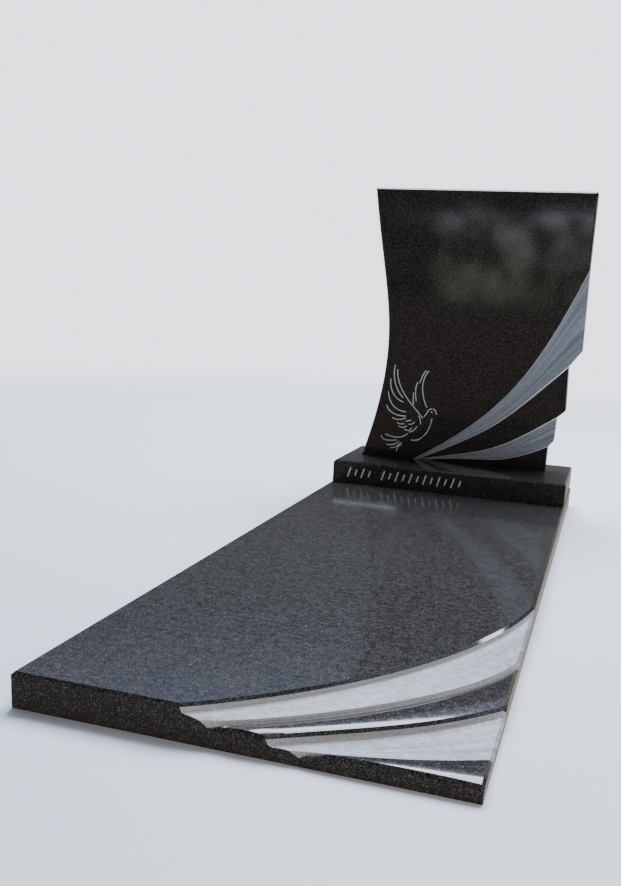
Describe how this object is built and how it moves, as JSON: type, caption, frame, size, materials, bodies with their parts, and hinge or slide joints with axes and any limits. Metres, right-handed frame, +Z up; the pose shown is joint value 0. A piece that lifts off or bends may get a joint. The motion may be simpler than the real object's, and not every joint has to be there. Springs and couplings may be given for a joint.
{
  "type": "ledger memorial",
  "caption": "Black granite ledger memorial: flat cover slab, low plinth across its head and an upright tablet with a waisted side, swept carved bands and an engraved dove.",
  "frame": {"origin": "middle of the cover slab's underside", "axes": "+Z up, +Y from the foot of the slab to the plinth and tablet, +X to the right of someone who stands at the foot and faces the tablet"},
  "size_m": [0.76, 2.13, 1.0046],
  "materials": {
    "cover_slab": "polished black granite, with dull ground pale grey bands",
    "plinth": "polished black granite",
    "tablet": "polished black granite, with dull ground pale grey bands"
  },
  "bodies": {
    "root": {"cover_slab": "cover_slab", "plinth": "plinth", "tablet": "tablet"}
  },
  "joints": []
}
